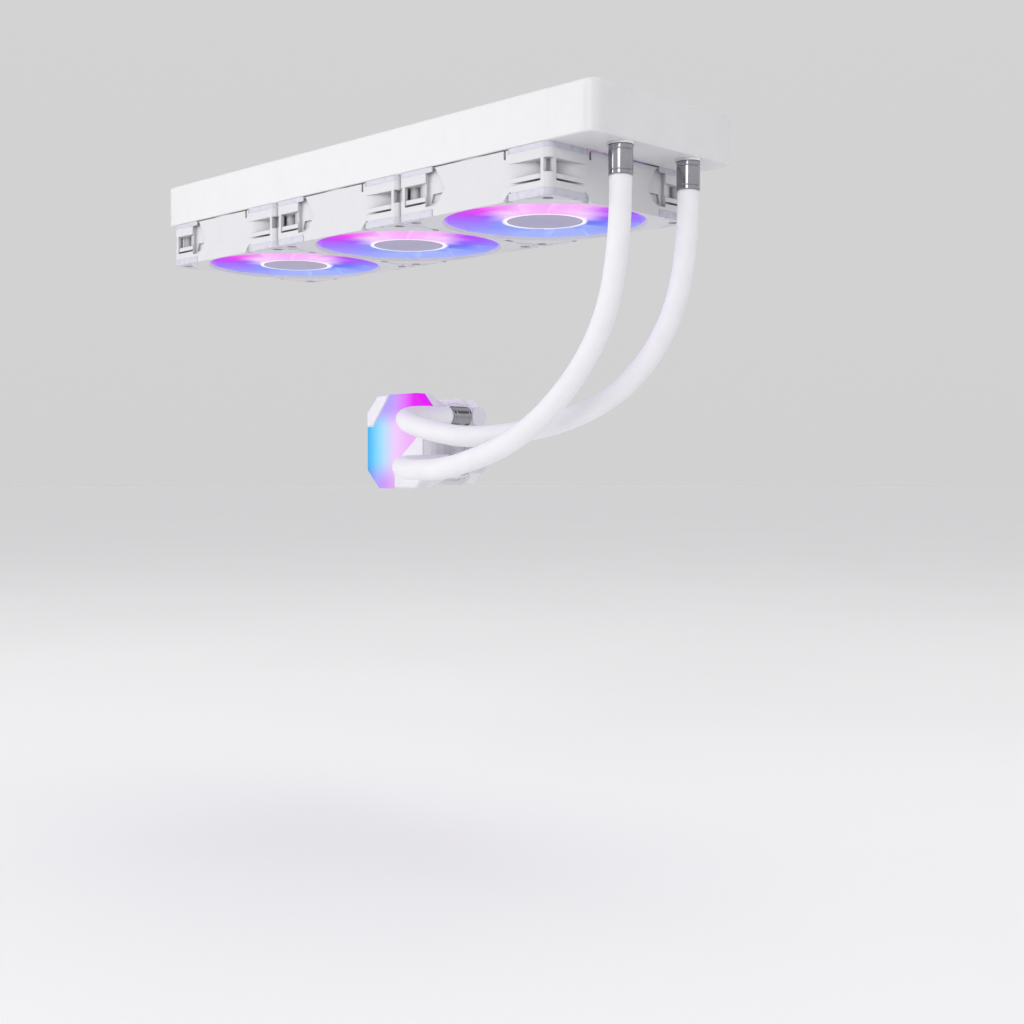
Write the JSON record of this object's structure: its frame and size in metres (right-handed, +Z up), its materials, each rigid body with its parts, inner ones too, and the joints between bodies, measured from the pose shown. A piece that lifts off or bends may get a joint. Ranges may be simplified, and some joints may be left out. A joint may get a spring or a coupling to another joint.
{
  "type": "liquid cooling radiator",
  "caption": "Closed-loop liquid cooler: long flat finned radiator with square lit fans under it, and sleeved hoses to an eight-sided pump block with a lit face.",
  "frame": {"origin": "centre of the middle fan's hole square on the radiator's top face, where the case's roof holds it", "axes": "+Z up out of the radiator's top face, +X along the radiator to the end tank with the hoses, +Y to the board that the pump block sits on"},
  "size_m": [0.4002, 0.1346, 0.209],
  "materials": {
    "radiator_paint": "satin white coating",
    "fin_paint": "satin white coating on thin aluminium",
    "tube_metal": "satin",
    "chrome_trim": "polished",
    "neck_metal": "satin",
    "hose_sleeve": "fine white braided sleeve",
    "hose_rubber": "matte",
    "fan_frame_plastic": "fine moulded texture",
    "fan_blade_plastic": "milky translucent, lit from the hub",
    "hub_cap_plastic": "satin",
    "pad_rubber": "soft matte white",
    "magnet": "matte",
    "steel": "machined",
    "bearing_bronze": "sintered",
    "copper": "machined copper",
    "circuit_board": "solder mask",
    "light_board": "white solder mask",
    "pump_plastic": "satin moulded plastic",
    "elbow_plastic": "smooth moulded plastic",
    "pump_cover_plastic": "gloss white",
    "diffuser_plastic": "milky diffuser, lit from behind",
    "impeller_plastic": "moulded",
    "bracket_paint": "satin white coating"
  },
  "bodies": {
    "cooler": {"radiator_fins": "fin_paint", "radiator_tubes": "tube_metal", "header_plates": "tube_metal", "front_tank": "radiator_paint", "rear_tank": "radiator_paint", "fill_plug": "chrome_trim", "near_side_rail": "radiator_paint", "far_side_rail": "radiator_paint", "radiator_necks": "neck_metal", "hose_ferrules": "chrome_trim", "hose_tails": "hose_rubber", "upper_hose": "hose_sleeve", "lower_hose": "hose_sleeve", "fan_1_frame": "fan_frame_plastic", "fan_1_bearing": "bearing_bronze", "fan_1_stator": "copper", "fan_1_light_board": "light_board", "fan_1_corner_pads": "pad_rubber", "fan_2_frame": "fan_frame_plastic", "fan_2_bearing": "bearing_bronze", "fan_2_stator": "copper", "fan_2_light_board": "light_board", "fan_2_corner_pads": "pad_rubber", "fan_3_frame": "fan_frame_plastic", "fan_3_bearing": "bearing_bronze", "fan_3_stator": "copper", "fan_3_light_board": "light_board", "fan_3_corner_pads": "pad_rubber", "fan_screws": "steel", "upper_elbow": "elbow_plastic", "lower_elbow": "elbow_plastic", "pump_housing": "pump_plastic", "pump_diffuser": "diffuser_plastic", "pump_corner_covers": "pump_cover_plastic", "pump_circuit_board": "circuit_board", "pump_stator": "copper", "pump_rotor_can": "steel", "pump_axle": "steel", "cold_plate": "copper", "cold_plate_screws": "steel", "seal_ring": "hose_rubber", "pump_bracket": "bracket_paint", "bracket_springs": "steel"},
    "fan_1_rotor": {"fan_1_blades": "fan_blade_plastic", "fan_1_hub_cap": "hub_cap_plastic", "fan_1_magnet_ring": "magnet", "fan_1_shaft": "steel"},
    "fan_2_rotor": {"fan_2_blades": "fan_blade_plastic", "fan_2_hub_cap": "hub_cap_plastic", "fan_2_magnet_ring": "magnet", "fan_2_shaft": "steel"},
    "fan_3_rotor": {"fan_3_blades": "fan_blade_plastic", "fan_3_hub_cap": "hub_cap_plastic", "fan_3_magnet_ring": "magnet", "fan_3_shaft": "steel"},
    "impeller": {"pump_impeller": "impeller_plastic"},
    "bracket_screw_1": {"bracket_screw_1": "steel"},
    "bracket_screw_2": {"bracket_screw_2": "steel"}
  },
  "joints": [
    {"name": "fan_1_spin", "type": "hinge", "parent": "cooler", "child": "fan_1_rotor", "pos_m": [0.12, 0, -0.041], "axis": [0, 0, 1], "continuous": true},
    {"name": "fan_2_spin", "type": "hinge", "parent": "cooler", "child": "fan_2_rotor", "pos_m": [0, 0, -0.041], "axis": [0, 0, 1], "continuous": true},
    {"name": "fan_3_spin", "type": "hinge", "parent": "cooler", "child": "fan_3_rotor", "pos_m": [-0.12, 0, -0.041], "axis": [0, 0, 1], "continuous": true},
    {"name": "impeller_spin", "type": "hinge", "parent": "cooler", "child": "impeller", "pos_m": [-0.0266, 0.036, -0.178], "axis": [0, 1, 0], "continuous": true},
    {"name": "bracket_screw_1_press", "type": "slide", "parent": "cooler", "child": "bracket_screw_1", "axis": [0, 1, 0], "range_m": [0, 0.005], "stiffness_N_per_m": 6000, "springref_m": -0.002, "deforming": ["bracket_springs"]},
    {"name": "bracket_screw_2_press", "type": "slide", "parent": "cooler", "child": "bracket_screw_2", "axis": [0, 1, 0], "range_m": [0, 0.005], "stiffness_N_per_m": 6000, "springref_m": -0.002, "deforming": ["bracket_springs"]}
  ]
}
